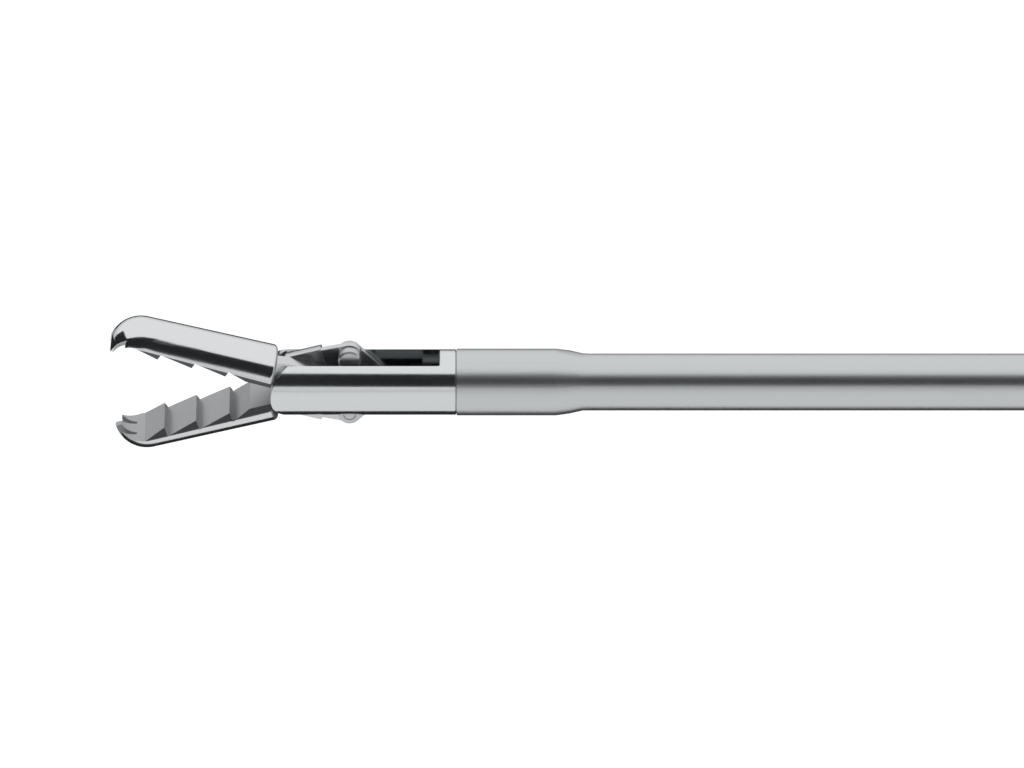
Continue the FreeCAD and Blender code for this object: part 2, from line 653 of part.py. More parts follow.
def rod_seal():
    """A ring with eight flats round its section, in the groove round the rod."""
    middle_r = ROD_R + RUN_FIT + SEAL_R
    outline = []
    for i in range(SEAL_FACETS):
        angle = math.pi * (2 * i + 1) / SEAL_FACETS
        x = SEAL_X + SEAL_R + (SEAL_R - FIT) * math.cos(angle)
        outline.append((x, middle_r + (SEAL_R - FIT) * math.sin(angle)))
    return turned(outline)


def rotation_wheel():
    """The fluted wheel that turns the shaft, keyed to the hub by a set screw."""
    back = WHEEL_FRONT + WHEEL_WIDTH
    wheel = turned([(WHEEL_FRONT, JOURNAL_R + FIT), (WHEEL_FRONT, HUB_R + WHEEL_COLLAR),
                    (WHEEL_FRONT + WHEEL_STEP, WHEEL_R - WHEEL_FALL), (WHEEL_FRONT + WHEEL_RISE, WHEEL_R),
                    (back, WHEEL_R), (back, JOURNAL_R + FIT)])
    for i in range(WHEEL_FLUTES):
        angle = 2 * math.pi * i / WHEEL_FLUTES
        y = (WHEEL_R + FLUTE_OUT) * math.cos(angle)
        z = (WHEEL_R + FLUTE_OUT) * math.sin(angle)
        wheel = wheel.cut(cyl_x(FLUTE_R, WHEEL_FRONT - 1, back + 1, y, z))
    track = cyl_x(DETENT_TRACK_R + DETENT_R, back - DETENT_R, back + 1)
    wheel = wheel.cut(track.cut(cyl_x(DETENT_TRACK_R - DETENT_R, back - DETENT_R, back + 1)))
    return wheel.cut(wheel_screw_space(FIT))


def wheel_screw_space(gap):
    """The set screw's hole, between two flutes."""
    angle = 180.0 / WHEEL_FLUTES
    hole = cyl_z(SET_SCREW_R + gap, JOURNAL_R, WHEEL_R + 1, SET_SCREW_X)
    hole.rotate(V(0, 0, 0), X_AXIS, angle)
    return hole


def wheel_set_screw():
    """A headless screw with a hexagon socket, sunk in the wheel."""
    top = JOURNAL_R + FIT + SET_SCREW_LENGTH
    screw = cyl_z(SET_SCREW_R, JOURNAL_R + FIT, top, SET_SCREW_X)
    socket = hexagon_x(SET_SCREW_R, 0, SET_SCREW_SOCKET)
    socket.rotate(V(0, 0, 0), Y_AXIS, 90)
    socket.translate(V(SET_SCREW_X, 0, top))
    screw = screw.cut(socket)
    screw.rotate(V(0, 0, 0), X_AXIS, 180.0 / WHEEL_FLUTES)
    return screw


def hub_retaining_clip():
    """The open spring clip in the journal's groove, behind the bearing."""
    clip = cyl_x(JOURNAL_R + CLIP_PROUD, JOURNAL_END + FIT, JOURNAL_END + CLIP_WIDTH - FIT)
    clip = clip.cut(cyl_x(JOURNAL_R - CLIP_DEPTH + FIT, JOURNAL_END, JOURNAL_END + CLIP_WIDTH))
    mouth = CLIP_MOUTH / 2
    return clip.cut(box(JOURNAL_END, JOURNAL_END + CLIP_WIDTH, -mouth, mouth, 0, JOURNAL_R + CLIP_PROUD + 1))


def shaft_pieces():
    return {
        "jaw_head": jaw_head(),
        "jaw_pivot_pin": jaw_pivot_pin(),
        "outer_tube": outer_tube(),
        "rod_guide_bushes": rod_guide_bushes(),
        "shaft_hub": shaft_hub(),
        "flush_port": flush_port(),
        "rod_seal": rod_seal(),
        "rotation_wheel": rotation_wheel(),
        "wheel_set_screw": wheel_set_screw(),
        "hub_retaining_clip": hub_retaining_clip(),
    }


# Rod

def push_rod():
    """The pull rod, with its flat tongue between the two links."""
    nose_x = ROD_PIN_X - TONGUE_NOSE
    half = TONGUE_THICK / 2
    tongue = box(ROD_PIN_X, -TONGUE_BACK, -half, half, -TONGUE_HALF_HEIGHT, TONGUE_HALF_HEIGHT)
    tongue = tongue.fuse(cyl_y(TONGUE_NOSE, -half, half, ROD_PIN_X)).removeSplitter()
    tongue = tongue.cut(cyl_y(LINK_PIN_R, -half - 1, half + 1, ROD_PIN_X))
    rod = cyl_x(ROD_R, -TONGUE_BACK - 1, THREAD_START)
    thread = cyl_x(THREAD_R, THREAD_START, THREAD_END)
    return fused([tongue, rod, thread])


def rod_tongue_pin():
    reach = LINK_INNER_Y + LINK_THICK
    return cyl_y(LINK_PIN_R, -reach, reach, ROD_PIN_X)


def rod_ball_end():
    """The ball that screws on the rod's end and lies in the lever's socket."""
    ball = Part.makeSphere(BALL_R, V(BALL_X, 0, 0))
    front = THREAD_START + NUT_LENGTH + FIT
    collar = cyl_x(NECK_R + COLLAR_WALL, front, THREAD_END + COLLAR_PAST)
    whole = fused([ball, collar, cyl_x(NECK_R, front, BALL_X)])
    return whole.cut(cyl_x(THREAD_R + FIT, front - 1, THREAD_END + FIT))


def rod_lock_nut():
    """The hexagon nut that keeps the ball end from unscrewing."""
    start = THREAD_START + FIT
    nut = hexagon_x(NUT_FLATS, start, start + NUT_LENGTH - FIT)
    return nut.cut(cyl_x(THREAD_R + FIT, start - 1, start + NUT_LENGTH + 1))


def rod_pieces():
    return {
        "push_rod": push_rod(),
        "rod_tongue_pin": rod_tongue_pin(),
        "rod_ball_end": rod_ball_end(),
        "rod_lock_nut": rod_lock_nut(),
    }


# Handle

def fixed_handle():
    """The fixed half: bearing barrel, two ears for the lever, leg and finger loop."""
    barrel = cyl_x(BARREL_R, BARREL_FRONT, CAVITY_BACK)
    rim = [edge for edge in barrel.Edges if edge.BoundBox.XLength < 0.01]
    barrel = barrel.makeFillet(BARREL_ROUND, rim)
    ear_start = (BARREL_FRONT + EAR_START[0], EAR_START[1])
    ear_bend = (PIVOT_SCREW_X + EAR_BEND[0], PIVOT_Z + EAR_BEND[1])
    ears = arm([ear_start, ear_bend, (PIVOT_SCREW_X, PIVOT_Z)], EAR_HALF_WIDTHS, -EARS_HALF, EARS_HALF)
    ears = ears.fuse(cyl_y(EAR_R, -EARS_HALF, EARS_HALF, PIVOT_SCREW_X, PIVOT_Z))
    loop_top = (FINGER_X, FINGER_Z + FINGER_STRAIGHT / 2 + FINGER_HALF_WIDTH + LOOP_SECTION_R)
    leg_top = (FINGER_X + LEG_TOP[0], LEG_TOP[1])
    leg_bend = (FINGER_X + LEG_BEND[0], LEG_BEND[1])
    half = LEG_THICK / 2
    leg = bevelled_plate(arm([leg_top, leg_bend, loop_top], LEG_HALF_WIDTHS, -half, half), half)
    boss = prism_y([(FINGER_X, PAWL_Z - PAWL_WEB_LOW), (PAWL_X, PAWL_Z - PAWL_BOSS_R),
                    (PAWL_X, PAWL_Z + PAWL_BOSS_R), (FINGER_X, PAWL_Z + PAWL_WEB_HIGH)], -half, half)
    eye = cyl_y(PAWL_BOSS_R, -half, half, PAWL_X, PAWL_Z)
    loop = finger_loop()
    whole = fused([barrel, ears, leg, boss, eye, loop])
    whole = whole.cut(cyl_x(BUSH_R, BARREL_FRONT - 1, BARREL_FRONT + BEARING_LENGTH))
    whole = whole.cut(cyl_x(CAVITY_R, BARREL_FRONT + BEARING_LENGTH, BALL_X))
    whole = whole.cut(lever_room())
    whole = whole.cut(cyl_y(PIVOT_SCREW_R, -EARS_HALF - 1, EARS_HALF + 1, PIVOT_SCREW_X, PIVOT_Z))
    sink_r = PIVOT_SCREW_HEAD_R + FIT
    sink = EARS_HALF - PIVOT_SCREW_HEAD
    whole = whole.cut(cyl_y(sink_r, -EARS_HALF - BEYOND, -sink, PIVOT_SCREW_X, PIVOT_Z))
    whole = whole.cut(cyl_y(sink_r, sink, EARS_HALF + BEYOND, PIVOT_SCREW_X, PIVOT_Z))
    whole = whole.cut(cyl_x(DETENT_R + FIT, BARREL_FRONT - 1, BARREL_FRONT + DETENT_DEPTH, 0, DETENT_TRACK_R))
    return whole.cut(cyl_y(PAWL_PIN_R, -half - 1, half + 1, PAWL_X, PAWL_Z))


def finger_loop():
    """A racetrack of round bar for the fingers."""
    path_r = FINGER_HALF_WIDTH + LOOP_SECTION_R
    upper = FINGER_Z + FINGER_STRAIGHT / 2
    lower = FINGER_Z - FINGER_STRAIGHT / 2
    top = round_ring(FINGER_X, upper, path_r, LOOP_SECTION_R, 0, 180)
    foot = round_ring(FINGER_X, lower, path_r, LOOP_SECTION_R, 180, 180)
    front = Part.makeCylinder(LOOP_SECTION_R, upper - lower, V(FINGER_X - path_r, 0, lower), Z_AXIS)
    back = Part.makeCylinder(LOOP_SECTION_R, upper - lower, V(FINGER_X + path_r, 0, lower), Z_AXIS)
    return fused([top, foot, front, back])


def lever_room():
    """The slot between the ears, open at the back and below, and the hollow for ball and nut."""
    half = LEVER_HEAD_THICK / 2 + SIDE_GAP
    front = BALL_X - CAVITY_FRONT
    back = CAVITY_BACK - CAVITY_WALL
    below = box(front, back, -half, half, -FINGER_HALF_WIDTH * 2, 0)
    return fused([below, cyl_x(CAVITY_R, front, back)])


def hub_bearing_bush():
    """The plastic bush that the shaft's journal turns in."""
    bush = cyl_x(BUSH_R - FIT, BARREL_FRONT, BARREL_FRONT + BEARING_LENGTH)
    return bush.cut(cyl_x(JOURNAL_R + RUN_FIT, BARREL_FRONT - 1, BARREL_FRONT + BEARING_LENGTH + 1))


def detent_ball():
    x = BARREL_FRONT - WHEEL_GAP - DETENT_REACH + DETENT_R
    return Part.makeSphere(DETENT_R - FIT, V(x, 0, DETENT_TRACK_R))


def detent_spring():
    """The small coil that pushes the detent ball against the wheel."""
    start = BARREL_FRONT - WHEEL_GAP + 2 * DETENT_R - DETENT_REACH
    length = BARREL_FRONT + DETENT_DEPTH - start
    wire_r = DETENT_WIRE_R
    coil_r = DETENT_R - FIT - wire_r - RUN_FIT
    pitch = (length - 2 * wire_r) / DETENT_TURNS
    helix = Part.makeHelix(pitch, length - 2 * wire_r, coil_r)
    corners = []
    for i in range(6):
        angle = math.pi * i / 3
        corners.append(V(coil_r + wire_r * math.cos(angle), 0, wire_r * math.sin(angle)))
    section = Part.makePolygon(corners + corners[:1])
    spring = Part.Wire(helix.Edges).makePipeShell([section], True, True)
    spring.rotate(V(0, 0, 0), Y_AXIS, 90)
    spring.translate(V(start + wire_r, 0, DETENT_TRACK_R))
    return Part.Solid(spring) if spring.ShapeType == "Shell" else spring


def lever_pivot_screw():
    """The shouldered screw that the lever turns on, its slotted head flush with the near ear."""
    half = EARS_HALF
    head = cyl_y(PIVOT_SCREW_HEAD_R, -half, -half + PIVOT_SCREW_HEAD, PIVOT_SCREW_X, PIVOT_Z)
    shank = cyl_y(PIVOT_SCREW_R - FIT, -half, half - SIDE_GAP, PIVOT_SCREW_X, PIVOT_Z)
    reach = PIVOT_SCREW_HEAD_R + 1
    width = SCREW_SLOT_WIDTH / 2
    slot = box(PIVOT_SCREW_X - reach, PIVOT_SCREW_X + reach, -half - 1, -half + SCREW_SLOT_DEPTH,
               PIVOT_Z - width, PIVOT_Z + width)
    return fused([head, shank]).cut(slot)


def lever_pivot_nut():
    """The round nut on the far ear, with two holes for a pin spanner."""
    half = EARS_HALF
    nut = cyl_y(PIVOT_SCREW_HEAD_R, half - PIVOT_SCREW_HEAD, half, PIVOT_SCREW_X, PIVOT_Z)
    nut = nut.cut(cyl_y(PIVOT_SCREW_R, half - PIVOT_SCREW_HEAD - 1, half + 1, PIVOT_SCREW_X, PIVOT_Z))
    for x in (PIVOT_SCREW_X - NUT_HOLE_OUT, PIVOT_SCREW_X + NUT_HOLE_OUT):
        nut = nut.cut(cyl_y(NUT_HOLE_R, half - NUT_HOLE_DEPTH, half + 1, x, PIVOT_Z))
    return nut


def handle_pieces():
    return {
        "fixed_handle": fixed_handle(),
        "hub_bearing_bush": hub_bearing_bush(),
        "detent_ball": detent_ball(),
        "detent_spring": detent_spring(),
        "lever_pivot_screw": lever_pivot_screw(),
        "lever_pivot_nut": lever_pivot_nut(),
        "pawl_pin": pawl_pin(),
        "pawl_spring": pawl_spring(),
    }


# Lever

def thumb_lever():
    """The moving half: a fork that holds the rod's ball, the pivot eye, the arm and the thumb ring."""
    half = LEVER_HEAD_THICK / 2
    eye = cyl_y(LEVER_EYE_R, -half, half, PIVOT_SCREW_X, PIVOT_Z)
    fork = box(BALL_X - FORK_HALF, BALL_X + FORK_HALF, -half, half, PIVOT_Z, BALL_R + FORK_TOP)
    path_r = THUMB_R + LOOP_SECTION_R - LOOP_FLAT
    reach = path_r / math.sqrt(2)
    bend_x = PIVOT_SCREW_X + (THUMB_X - PIVOT_SCREW_X) * LEVER_BEND[0]
    bend_z = PIVOT_Z + (THUMB_Z - PIVOT_Z) * LEVER_BEND[1]
    points = [(PIVOT_SCREW_X, PIVOT_Z), (bend_x, bend_z), (THUMB_X - reach, THUMB_Z + reach)]
    blade = bevelled_plate(arm(points, LEVER_HALF_WIDTHS, -half, half), half)
    ring = round_ring(THUMB_X, THUMB_Z, path_r, LOOP_SECTION_R)
    hole = cyl_y(THUMB_R, -LOOP_SECTION_R, LOOP_SECTION_R, THUMB_X, THUMB_Z)
    whole = fused([eye, fork, blade, ring]).cut(hole)
    whole = whole.cut(Part.makeSphere(BALL_R + RUN_FIT, V(BALL_X, 0, 0)))
    whole = whole.cut(cyl_z(BALL_R + RUN_FIT, 0, BALL_R + 2, BALL_X))
    side = NECK_R + NECK_ROOM
    neck_room = box(BALL_X - FORK_HALF - 1, BALL_X, -side, side, -NECK_R - NECK_SWING, BALL_R + 2)
    whole = whole.cut(neck_room)
    return whole.cut(cyl_y(PIVOT_SCREW_R + RUN_FIT, -half - 1, half + 1, PIVOT_SCREW_X, PIVOT_Z))


def ratchet_bar():
    """The toothed arc that swings past the leg with the lever, struck about the lever's pivot."""
    inner = RATCHET_R - RATCHET_BAR_WIDTH
    y0 = RATCHET_Y
    ring = cyl_y(RATCHET_R, y0, y0 + RATCHET_THICK, PIVOT_SCREW_X, PIVOT_Z)
    ring = ring.cut(cyl_y(inner, y0 - 1, y0 + RATCHET_THICK + 1, PIVOT_SCREW_X, PIVOT_Z))
    far = 2 * RATCHET_R
    angles = (RATCHET_START, (RATCHET_START + RATCHET_END) / 2, RATCHET_END)
    corners = [(PIVOT_SCREW_X, PIVOT_Z)] + [on_arc(angle, far) for angle in angles]
    wedge = prism_y(corners, y0, y0 + RATCHET_THICK)
    bar = ring.common(wedge)
    step = LEVER_ANGLE / RATCHET_STEPS
    for i in range(RATCHET_TEETH):
        angle = math.radians(PAWL_ANGLE + step * i)
        bar = bar.cut(ratchet_notch(angle, step, y0))
    for angle in RIVET_ANGLES:
        bar = bar.cut(cyl_y(RIVET_R, y0 - 1, y0 + RATCHET_THICK + 1, *on_arc(angle)))
    return bar


def on_arc(degrees, radius=None):
    """A point (x, z) on an arc about the lever's pivot, on the bar's middle line if no radius is given."""
    middle = radius or RATCHET_R - RATCHET_BAR_WIDTH / 2
    return (PIVOT_SCREW_X + middle * math.cos(math.radians(degrees)),
            PIVOT_Z + middle * math.sin(math.radians(degrees)))


def ratchet_notch(angle, step, y0):
    """One saw notch in the arc's outer edge, steep on the side that holds."""
    width = math.radians(step)
    root = RATCHET_R - RATCHET_TOOTH
    crest = RATCHET_R + 1
    end = angle + width * NOTCH_SHARE
    points = []
    for a, r in ((angle, root), (angle, crest), (end, crest), (end, RATCHET_R)):
        points.append((PIVOT_SCREW_X + r * math.cos(a), PIVOT_Z + r * math.sin(a)))
    return prism_y(points, y0 - 1, y0 + RATCHET_THICK + 1)


def ratchet_rivets():
    """The two rivets that hold the bar against the lever's side."""
    rivets = []
    for angle in RIVET_ANGLES:
        x, z = on_arc(angle)
        shank = cyl_y(RIVET_R, RATCHET_Y, LEVER_HEAD_THICK / 2, x, z)
        head = cyl_y(RIVET_HEAD_R, RATCHET_Y - RIVET_HEAD, RATCHET_Y, x, z)
        rivets.append(shank.fuse(head).removeSplitter())
    return Part.makeCompound(rivets)


def lever_pieces():
    lever = thumb_lever()
    for angle in RIVET_ANGLES:
        x, z = on_arc(angle)
        lever = lever.cut(cyl_y(RIVET_R, -LEVER_HEAD_THICK, LEVER_HEAD_THICK, x, z))
    return {
        "thumb_lever": lever,
        "ratchet_bar": ratchet_bar(),
        "ratchet_rivets": ratchet_rivets(),
    }


# Pawl

def ratchet_pawl():
    """The hook under the arc, with a finger's tab that swings it clear. Drawn engaged, then lifted off."""
    x, z = on_arc(PAWL_ANGLE, RATCHET_R - RATCHET_TOOTH + RATCHET_GAP)
    y0 = RATCHET_Y
    y1 = y0 + RATCHET_THICK
    a = math.radians(PAWL_ANGLE)
    pitch = math.radians(LEVER_ANGLE / RATCHET_STEPS) * RATCHET_R
    near = PAWL_TOOTH_NEAR
    far = pitch * PAWL_TOOTH_SHARE
    rise = RATCHET_TOOTH * (far - near) / (pitch * NOTCH_SHARE)
    out = (math.cos(a), math.sin(a))
    along = (-math.sin(a), math.cos(a))

    def at(outward, forward):
        return (x + out[0] * outward + along[0] * forward, z + out[1] * outward + along[1] * forward)

    top = PAWL_TOOTH_TOP
    base = PAWL_TOOTH_BASE
    tooth = prism_y([at(top, near), at(top + rise, far), at(base, far), at(base, near)], y0, y1)
    body = arm([at(*place) for place in PAWL_ARM] + [(PAWL_X, PAWL_Z)], PAWL_HALF_WIDTHS, y0, y1)
    eye = cyl_y(PAWL_EYE_R, y0, y1, PAWL_X, PAWL_Z)
    tab_points = [(PAWL_X, PAWL_Z)] + [(PAWL_X + dx, PAWL_Z + dz) for dx, dz in TAB_POINTS]
    tab = arm(tab_points, TAB_HALF_WIDTHS, y0, y1)
    whole = fused([tooth, body, eye, tab])
    whole = whole.cut(cyl_y(PAWL_PIN_R + RUN_FIT, y0 - 1, y1 + 1, PAWL_X, PAWL_Z))
    return rotated_y(whole, PAWL_X, PAWL_Z, PAWL_LIFT)


def pawl_pin():
    """The headed pin through spring, pawl and leg."""
    end = RATCHET_Y - SPRING_TURNS_LENGTH - SIDE_GAP
    pin = cyl_y(PAWL_PIN_R, end - PAWL_PIN_HEAD, LEG_THICK / 2, PAWL_X, PAWL_Z)
    return pin.fuse(cyl_y(PAWL_PIN_HEAD_R, end - PAWL_PIN_HEAD, end, PAWL_X, PAWL_Z)).removeSplitter()


def pawl_spring():
    """The wire spring round the pin, with one leg on the pawl's side and one bent down to the leg."""
    y1 = RATCHET_Y - SIDE_GAP / 2
    y0 = y1 - SPRING_TURNS_LENGTH
    turns = cyl_y(PAWL_PIN_R + SPRING_TURNS_WALL, y0, y1, PAWL_X, PAWL_Z)
    turns = turns.cut(cyl_y(PAWL_PIN_R + RUN_FIT, y0 - 1, y1 + 1, PAWL_X, PAWL_Z))
    middle = (y0 + y1) / 2
    start = V(PAWL_X, middle, PAWL_Z - PAWL_PIN_R - SPRING_START)
    bend = V(PAWL_X + SPRING_BEND[0], middle, PAWL_Z + SPRING_BEND[1])
    foot = cyl_y(SPRING_WIRE_R, middle, -LEG_THICK / 2, bend.x, bend.z)
    elbow = Part.makeSphere(SPRING_WIRE_R * 1.2, bend)
    return fused([turns, bar_between(start, bend, SPRING_WIRE_R), elbow, foot])


def pawl_pieces():
    return {"ratchet_pawl": ratchet_pawl()}


def save(pieces):
    os.makedirs("parts", exist_ok=True)
    for name, shape in pieces.items():
        shape.exportStep("parts/" + name + ".step")


if __name__ == "__main__":
    print("rod travel", round(ROD_TRAVEL, 4), "lever angle", round(LEVER_ANGLE, 4))
    for group in (jaw_pieces, shaft_pieces, rod_pieces, handle_pieces, lever_pieces, pawl_pieces):
        save(group())
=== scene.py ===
import math

import bmesh
import bpy
from mathutils import Matrix, Vector


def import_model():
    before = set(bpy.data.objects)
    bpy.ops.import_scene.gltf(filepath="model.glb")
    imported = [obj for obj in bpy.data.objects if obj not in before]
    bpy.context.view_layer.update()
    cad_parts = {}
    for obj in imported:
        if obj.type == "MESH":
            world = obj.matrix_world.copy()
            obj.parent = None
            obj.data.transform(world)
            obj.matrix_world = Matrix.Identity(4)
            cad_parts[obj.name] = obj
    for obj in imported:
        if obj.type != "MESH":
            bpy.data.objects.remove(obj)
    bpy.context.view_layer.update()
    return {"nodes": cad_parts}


# Looks, light and camera for a laparoscopic grasper. Lengths in the scene are metres.
# The shaft lies along X with the jaws at -X. The camera stands at -Y, above.

MM = 0.001

# The jaws, in millimetres, as in the part's source
PIVOT_X = -13.44
OPEN_ANGLE = 15.7
JAW_ROOT_R = 2.65
JAW_TIP_R = 2.5
JAW_REAR = 2.96
NOSE_LENGTH = 2.9
LOWER_TIP = 17.1
UPPER_TIP = 17.55
TOOTH_WIDTH_TIP = 3.9
TOOTH_WIDTH_ROOT = 4.5
TOOTH_LEAN = 0.5

# Where the jaws' finishes meet, in millimetres from the turned surface and the root's front, and where the
# painted shade on the teeth's long sides begins, from the teeth's edge
SKIN_FADE = (0.05, 0.02)
ROOT_FADE = (JAW_REAR + 0.02, JAW_REAR - 0.02)
FLANK_SHADE_FADE = (-0.06, -0.03)
TAIL_SHINE = 0.65
# Painted shade: this darker colour is multiplied into the long sides of the teeth, as if they lay in shade
FLANK_PAINTED_SHADE = (0.3, 0.31, 0.32, 1)

# Grain: noise scales for metres, and millimetres for the height of a line and for broken edges
LINE_SCALE = 1000.0
CLOUD_SCALE = 160.0
LINE_HEIGHT = 0.02
BROKEN_EDGE = 0.05
CRISP_EDGE = 0.015
LINK_EDGE = 0.08
HANDLE_EDGE = 0.25
PLASTIC_EDGE = 0.2
EDGE_SAMPLES = 6

# Camera: millimetres across the picture and for the aim, metres for distances, and degrees
PHOTO_WIDTH = 89.8
VIEW_ELEVATION = 33.0
CAMERA_DISTANCE = 2.0
SENSOR = 36.0
AIM_X = 4.85
AIM_DOWN = 0.175
NEAR_LIMIT = 0.01
FAR_LIMIT = 200.0

# Light, in the scene's plain units: 1 is white
BOX_LIGHT = 0.5
BOX_WIDTH = 4.0
BOX_DEPTH = 2.4
BOX_MIDDLE = (0, 0.1, 1.7)
SIDE_LIGHT = 0.92
HORIZON_LIGHT = 0.62
HORIZON_RISE = 0.35
AMBIENT = 0.5

# Floor and dark cards: millimetres for heights, metres for the rest
FLOOR_GLOW = 0.45
FLOOR_MIRRORED = 0.18
FLOOR_GREY = (0.86, 0.86, 0.86, 1)
FLOOR_ROUGHNESS = 0.9
FLOOR_SIZE = 60.0
FLOOR_Z = -85.6
CARD_BLACK = (0.03, 0.031, 0.033, 1)
CARD_LIFT = 1
CARD_ELEVATION = 38.0
CARD_DISTANCE = 1.25

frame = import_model()


# Nodes of a material

def add(tree, kind, **settings):
    """One node, with its properties set by name."""
    made = tree.nodes.new(kind)
    for key, value in settings.items():
        setattr(made, key, value)
    return made


def fill(node, **values):
    """Set a node's sockets by name. An underscore stands for a space."""
    for key, value in values.items():
        node.inputs[key.replace("_", " ")].default_value = value
    return node


def join(tree, source, target):
    tree.links.new(source, target)


def calculate(tree, operation, first, second=0.0):
    """A Math node. Each side is a socket or a number."""
    made = add(tree, "ShaderNodeMath", operation=operation)
    for socket, value in zip(made.inputs, (first, second)):
        if isinstance(value, (int, float)):
            socket.default_value = value
        else:
            join(tree, value, socket)
    return made.outputs[0]


def fade(tree, value, start, end):
    """0 before start and 1 past end, with a smooth step between them."""
    step = add(tree, "ShaderNodeMapRange", interpolation_type="SMOOTHSTEP", clamp=True)
    fill(step, From_Min=start, From_Max=end, To_Min=0.0, To_Max=1.0)
    join(tree, value, step.inputs["Value"])
    return step.outputs["Result"]


def mixed(tree, kind, factor, first, second, blend="MIX"):
    """A Mix node. kind is RGBA, FLOAT or VECTOR, and each side is a socket or a colour."""
    made = add(tree, "ShaderNodeMix", data_type=kind, blend_type=blend)
    sockets = [socket for socket in made.inputs if socket.enabled]
    join(tree, factor, sockets[0])
    for socket, value in zip(sockets[1:], (first, second)):
        if isinstance(value, tuple):
            socket.default_value = value
        else:
            join(tree, value, socket)
    return [socket for socket in made.outputs if socket.enabled][0]


def group(name, inputs, outputs):
    """An empty shader group. inputs are (name, kind, default), outputs are (name, kind)."""
    tree = bpy.data.node_groups.new(name, "ShaderNodeTree")
    new_socket = tree.interface.new_socket
    for label, kind, default in inputs:
        socket = new_socket(name=label, in_out="INPUT", socket_type="NodeSocket" + kind)
        if default is not None:
            socket.default_value = default
    for label, kind in outputs:
        new_socket(name=label, in_out="OUTPUT", socket_type="NodeSocket" + kind)
    start = add(tree, "NodeGroupInput")
    end = add(tree, "NodeGroupOutput")
    return tree, start.outputs, end.inputs


def ground_grain():
    """Fine lines or specks from grinding, drawing or blasting, with faint wear in colour and gloss."""
    tree, given, result = group(
        "ground grain",
        [("Colour", "Color", (0.7, 0.7, 0.7, 1)),
         ("Roughness", "Float", 0.2),
         ("Lines along", "Float", 0.2),
         ("Lines across", "Float", 4.0),
         ("Depth", "Float", 0.1),
         ("Tone change", "Float", 0.05),
         ("Gloss change", "Float", 0.1),
         ("Normal", "Vector", None)],
        [("Colour", "Color"), ("Roughness", "Float"), ("Normal", "Vector")])
    place = add(tree, "ShaderNodeTexCoord").outputs["Object"]
    stretch = add(tree, "ShaderNodeCombineXYZ")
    for axis, label in (("X", "Lines along"), ("Y", "Lines across"), ("Z", "Lines across")):
        join(tree, given[label], stretch.inputs[axis])
    scaled = add(tree, "ShaderNodeVectorMath", operation="MULTIPLY")
    join(tree, place, scaled.inputs[0])
    join(tree, stretch.outputs[0], scaled.inputs[1])
    lines = fill(add(tree, "ShaderNodeTexNoise"), Scale=LINE_SCALE, Detail=4.0, Roughness=0.6)
    join(tree, scaled.outputs[0], lines.inputs["Vector"])
    clouds = fill(add(tree, "ShaderNodeTexNoise"), Scale=CLOUD_SCALE, Detail=3.0, Roughness=0.55)
    join(tree, place, clouds.inputs["Vector"])

    height = fill(add(tree, "ShaderNodeBump"), Distance=LINE_HEIGHT * MM)
    join(tree, given["Depth"], height.inputs["Strength"])
    join(tree, lines.outputs["Fac"], height.inputs["Height"])
    join(tree, given["Normal"], height.inputs["Normal"])
    join(tree, height.outputs["Normal"], result["Normal"])

    change = calculate(tree, "SUBTRACT", lines.outputs["Fac"], 0.5)
    tone = calculate(tree, "ADD", calculate(tree, "MULTIPLY", change, given["Tone change"]), 1.0)
    shade = add(tree, "ShaderNodeVectorMath", operation="SCALE")
    join(tree, given["Colour"], shade.inputs[0])
    join(tree, tone, shade.inputs["Scale"])
    join(tree, shade.outputs[0], result["Colour"])

    dull = calculate(tree, "SUBTRACT", clouds.outputs["Fac"], 0.5)
    wear_change = calculate(tree, "MULTIPLY", dull, given["Gloss change"])
    join(tree, calculate(tree, "ADD", wear_change, given["Roughness"]), result["Roughness"])
    return tree


def jaw_radius(tree, reach, before, nose_start):
    """The turned outside's radius at this reach from the pivot: a slight taper, then the round nose."""
    nose_r = (NOSE_LENGTH ** 2 + JAW_TIP_R ** 2) / (2 * JAW_TIP_R)
    past = calculate(tree, "MAXIMUM", calculate(tree, "SUBTRACT", reach, nose_start), 0.0)
    drop = calculate(tree, "SUBTRACT", nose_r ** 2, calculate(tree, "MULTIPLY", past, past))
    round_end = calculate(tree, "SQRT", calculate(tree, "MAXIMUM", drop, 0.0))
    nose = calculate(tree, "SUBTRACT", round_end, nose_r - JAW_TIP_R)
    taper = (JAW_ROOT_R - JAW_TIP_R) / (LOWER_TIP - NOSE_LENGTH - JAW_REAR)
    return calculate(tree, "ADD", nose, calculate(tree, "MULTIPLY", before, taper))


